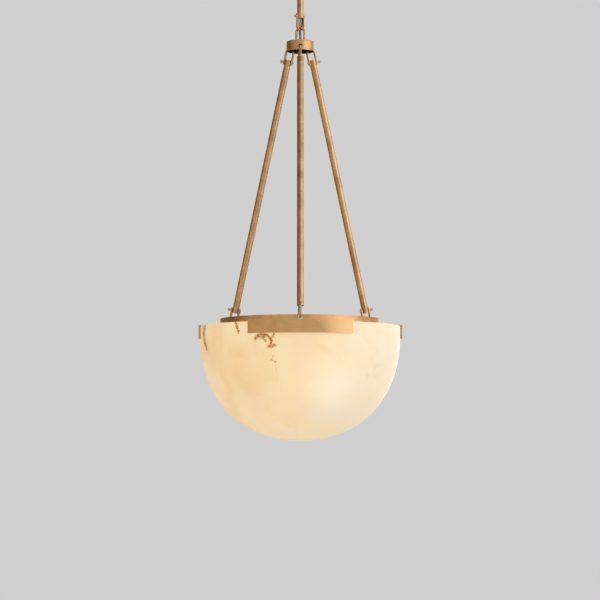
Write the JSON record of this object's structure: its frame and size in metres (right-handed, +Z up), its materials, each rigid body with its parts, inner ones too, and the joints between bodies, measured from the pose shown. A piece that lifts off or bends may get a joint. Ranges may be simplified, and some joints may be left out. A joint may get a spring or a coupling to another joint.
{
  "type": "alabaster bowl pendant",
  "caption": "Hanging light with a glowing alabaster bowl, held by clips at its rim on tube rods from a turned hub, a linked stem and a ceiling canopy.",
  "frame": {"origin": "centre of the outlet-box screw pattern, in the ceiling plane", "axes": "+Z up along the stem, -Y towards the front rod, +X to the right seen from the front"},
  "size_m": [0.4668, 0.462, 1.2134],
  "materials": {
    "aged_brass": "aged satin brass",
    "clip_brass": "brushed satin brass",
    "zinc_steel": "zinc plated",
    "white_enamel": "white enamel, satin",
    "alabaster": "polished, translucent",
    "porcelain": "glazed white",
    "socket_shell": "plain",
    "frosted_glass": "frosted, lit",
    "gasket": "matt",
    "grommet": "matt",
    "connector": "moulded",
    "splice_cap": "moulded",
    "wire_insulation": "smooth sleeve"
  },
  "bodies": {
    "ceiling": {"canopy": "aged_brass", "crossbar": "zinc_steel", "hanging_nipple": "zinc_steel", "nipple_nuts": "zinc_steel", "canopy_studs": "zinc_steel", "canopy_knobs": "aged_brass", "ground_screw": "zinc_steel", "wire_connectors": "connector", "supply_leads": "wire_insulation", "swivel_head": "aged_brass", "swivel_retainer": "aged_brass"},
    "swivel": {"swivel_fork": "aged_brass", "swivel_pin": "aged_brass"},
    "stem": {"stem_knuckle": "aged_brass", "stem": "aged_brass", "stem_leads": "wire_insulation", "swivel_leads": "wire_insulation"},
    "link": {"stem_link": "aged_brass", "stem_link_pin": "aged_brass", "link_leads": "wire_insulation"},
    "hub": {"hub_cup": "aged_brass", "hub_loop": "aged_brass", "hub_loop_nuts": "zinc_steel", "hub_grommet": "grommet", "hub_leads": "wire_insulation"},
    "hanger_front": {"rod_front": "aged_brass", "upper_shackle_front": "aged_brass", "lower_shackle_front": "aged_brass", "cross_pins_front": "aged_brass", "rod_leads": "wire_insulation"},
    "hanger_right": {"rod_right": "aged_brass", "upper_shackle_right": "aged_brass", "lower_shackle_right": "aged_brass", "cross_pins_right": "aged_brass"},
    "hanger_left": {"rod_left": "aged_brass", "upper_shackle_left": "aged_brass", "lower_shackle_left": "aged_brass", "cross_pins_left": "aged_brass"},
    "bowl": {"light_ring": "aged_brass", "pan_plate": "white_enamel", "pan_screws": "zinc_steel", "bulb_1": "frosted_glass", "bulb_2": "frosted_glass", "bulb_3": "frosted_glass", "socket_holders": "zinc_steel", "lamp_sockets": "porcelain", "screw_shells": "socket_shell", "splice_caps": "splice_cap", "pan_leads": "wire_insulation", "stone_gaskets": "gasket", "clip_studs": "zinc_steel", "clip_nuts": "zinc_steel", "ring_screws": "zinc_steel", "alabaster_bowl": "alabaster", "rim_clip_front": "clip_brass", "rim_clip_right": "clip_brass", "rim_clip_left": "clip_brass", "bracket_front": "zinc_steel", "bracket_right": "zinc_steel", "bracket_left": "zinc_steel"}
  },
  "joints": [
    {"name": "swivel_turn", "type": "hinge", "parent": "ceiling", "child": "swivel", "pos_m": [0, 0, -0.044], "axis": [0, 0, 1], "range_deg": [-170, 170]},
    {"name": "swivel_tilt", "type": "hinge", "parent": "swivel", "child": "stem", "pos_m": [0, 0, -0.0666], "axis": [0, 1, 0], "range_deg": [-45, 45], "deforming": ["swivel_leads"]},
    {"name": "link_swing", "type": "hinge", "parent": "stem", "child": "link", "pos_m": [0, 0, -0.2348], "axis": [-0.788, -0.6157, 0], "range_deg": [-40, 40], "deforming": ["link_leads"]},
    {"name": "loop_swing", "type": "hinge", "parent": "link", "child": "hub", "pos_m": [0, 0, -0.2576], "axis": [-0.6157, 0.788, 0], "range_deg": [-20, 20], "deforming": ["link_leads"]},
    {"name": "bowl_twist", "type": "hinge", "parent": "hub", "child": "bowl", "pos_m": [0, 0, -0.31794], "axis": [0, 0, 1], "range_deg": [-8, 8], "stiffness_Nm_per_rad": 0.7, "deforming": ["pan_leads"]},
    {"name": "hanger_front", "type": "hinge", "parent": "hub", "child": "hanger_front", "pos_m": [0, -0.02805, -0.31794], "axis": [0, 0, 1], "range_deg": [-9.6, 9.6], "deforming": ["hub_leads"]},
    {"name": "hanger_right", "type": "hinge", "parent": "hub", "child": "hanger_right", "pos_m": [0.02429, 0.01402, -0.31794], "axis": [0, 0, 1], "range_deg": [-9.6, 9.6]},
    {"name": "hanger_left", "type": "hinge", "parent": "hub", "child": "hanger_left", "pos_m": [-0.02429, 0.01402, -0.31794], "axis": [0, 0, 1], "range_deg": [-9.6, 9.6]}
  ],
  "couplings": [
    {"joint": "hanger_front", "follows": "bowl_twist", "ratio": 1.1853},
    {"joint": "hanger_right", "follows": "bowl_twist", "ratio": 1.1853},
    {"joint": "hanger_left", "follows": "bowl_twist", "ratio": 1.1853}
  ]
}
